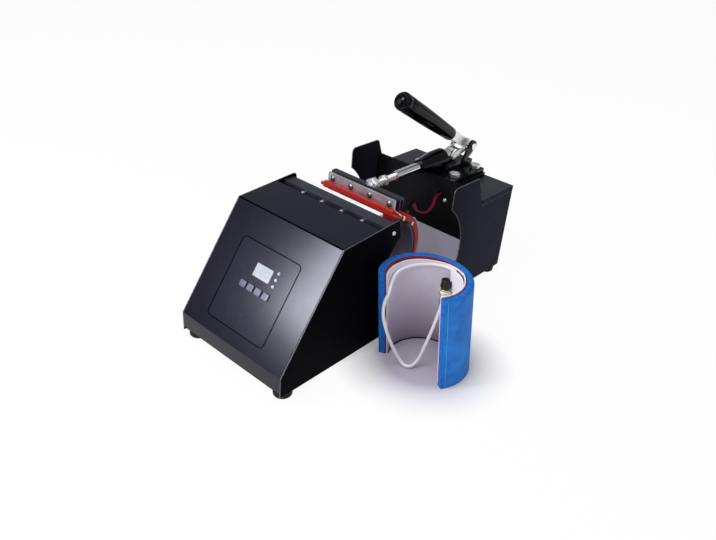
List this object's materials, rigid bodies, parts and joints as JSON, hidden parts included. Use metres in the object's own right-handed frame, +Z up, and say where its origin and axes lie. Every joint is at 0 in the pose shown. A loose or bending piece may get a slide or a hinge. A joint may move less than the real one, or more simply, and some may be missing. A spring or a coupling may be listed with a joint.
{
  "type": "mug heat press",
  "caption": "Bench heat press for mugs: notched steel housing with a sloping control panel, a round heated wrap closed by a push-pull toggle clamp, and a loose spare wrap.",
  "frame": {"origin": "on the surface that the press stands on, under the middle of the box round the press and its spare wrap", "axes": "+X across the press to its right, +Y from the control panel back to the clamp's deck, +Z up"},
  "size_m": [0.283, 0.436, 0.2697],
  "materials": {
    "black_plate": "black powder coat, satin",
    "grey_casing": "dark grey powder coat, satin",
    "black_plastic": "moulded, matt",
    "black_rubber": "smooth, slightly glossy",
    "dark_fascia": "smooth membrane over a plate",
    "pale_window": "clear, pale display behind",
    "circuit_board": "bare circuit board",
    "grey_button": "moulded, satin",
    "strip_alloy": "bare, brushed",
    "bright_steel": "zinc plated",
    "chrome_rod": "polished",
    "red_silicone": "silicone, satin",
    "white_liner": "silicone foam, matt",
    "blue_silicone": "silicone foam, matt",
    "red_lead": "silicone insulated wire",
    "white_lead": "silicone insulated wire"
  },
  "bodies": {
    "housing": {"left_side_plate": "black_plate", "right_side_plate": "black_plate", "front_casing": "grey_casing", "base_plate": "black_plate", "front_bulkhead": "black_plate", "rear_slope": "black_plate", "rear_wall": "black_plate", "rear_deck": "black_plate", "rear_panel": "black_plate", "power_inlet": "black_plastic", "power_module": "black_plastic", "foot_1": "black_rubber", "foot_2": "black_rubber", "foot_3": "black_rubber", "foot_4": "black_rubber", "control_fascia": "dark_fascia", "display_window": "pale_window", "control_board": "circuit_board", "fixed_jaw_bar": "grey_casing", "fixed_strip": "strip_alloy", "fixed_screw_1": "bright_steel", "fixed_screw_2": "bright_steel", "fixed_screw_3": "bright_steel", "fixed_screw_4": "bright_steel", "wrap_front": "red_silicone", "wrap_liner_front": "white_liner", "clamp_mount_plate": "black_plate", "clamp_base": "black_plate", "clamp_bolt_1": "bright_steel", "clamp_bolt_2": "bright_steel", "clamp_bolt_3": "bright_steel", "clamp_bolt_4": "bright_steel", "clamp_pivot_pin": "bright_steel"},
    "plunger": {"plunger_rod": "chrome_rod", "plunger_pin": "bright_steel", "jaw_spindle": "bright_steel", "spindle_nut_1": "bright_steel", "spindle_nut_2": "bright_steel", "moving_jaw_bar": "grey_casing", "moving_strip": "strip_alloy", "moving_screw_1": "bright_steel", "moving_screw_2": "bright_steel", "moving_screw_3": "bright_steel", "moving_screw_4": "bright_steel", "wrap_rear": "red_silicone", "wrap_liner_rear": "white_liner", "wrap_lead": "red_lead"},
    "handle": {"handle_lever": "bright_steel", "handle_grip": "black_rubber"},
    "links": {"link_left": "bright_steel", "link_right": "bright_steel"},
    "rocker": {"rocker_switch": "black_plastic"},
    "button_body_1": {"button_1": "grey_button"},
    "button_body_2": {"button_2": "grey_button"},
    "button_body_3": {"button_3": "grey_button"},
    "button_body_4": {"button_4": "grey_button"},
    "spare": {"spare_foam": "blue_silicone", "spare_liner": "white_liner", "spare_lead": "white_lead", "spare_connector": "bright_steel"}
  },
  "joints": [
    {"name": "handle_swing", "type": "hinge", "parent": "housing", "child": "handle", "pos_m": [-0.05649, 0.20697, 0.1691], "axis": [-1, 0, 0], "range_deg": [0, 100]},
    {"name": "plunger_slide", "type": "slide", "parent": "housing", "child": "plunger", "axis": [0, 1, 0], "range_m": [0, 0.01994], "deforming": ["wrap_lead"]},
    {"name": "link_turn", "type": "hinge", "parent": "plunger", "child": "links", "pos_m": [-0.05649, 0.16997, 0.1615], "axis": [1, 0, 0], "range_deg": [0, 37.9]},
    {"name": "button_1_press", "type": "slide", "parent": "housing", "child": "button_body_1", "axis": [0, 0.818, -0.5752], "range_m": [0, 0.001], "stiffness_N_per_m": 400},
    {"name": "button_2_press", "type": "slide", "parent": "housing", "child": "button_body_2", "axis": [0, 0.818, -0.5752], "range_m": [0, 0.001], "stiffness_N_per_m": 400},
    {"name": "button_3_press", "type": "slide", "parent": "housing", "child": "button_body_3", "axis": [0, 0.818, -0.5752], "range_m": [0, 0.001], "stiffness_N_per_m": 400},
    {"name": "button_4_press", "type": "slide", "parent": "housing", "child": "button_body_4", "axis": [0, 0.818, -0.5752], "range_m": [0, 0.001], "stiffness_N_per_m": 400},
    {"name": "rocker_press", "type": "hinge", "parent": "housing", "child": "rocker", "pos_m": [-0.10149, 0.21027, 0.0765], "axis": [1, 0, 0], "range_deg": [0, 16]},
    {"name": "spare_wrap_lift", "type": "slide", "parent": "housing", "child": "spare", "axis": [0, 0, 1], "range_m": [0, 0.16]}
  ],
  "couplings": [
    {"joint": "plunger_slide", "follows": "handle_swing", "m_per_rad": 0.011413},
    {"joint": "link_turn", "follows": "handle_swing", "ratio": 0.3788}
  ]
}
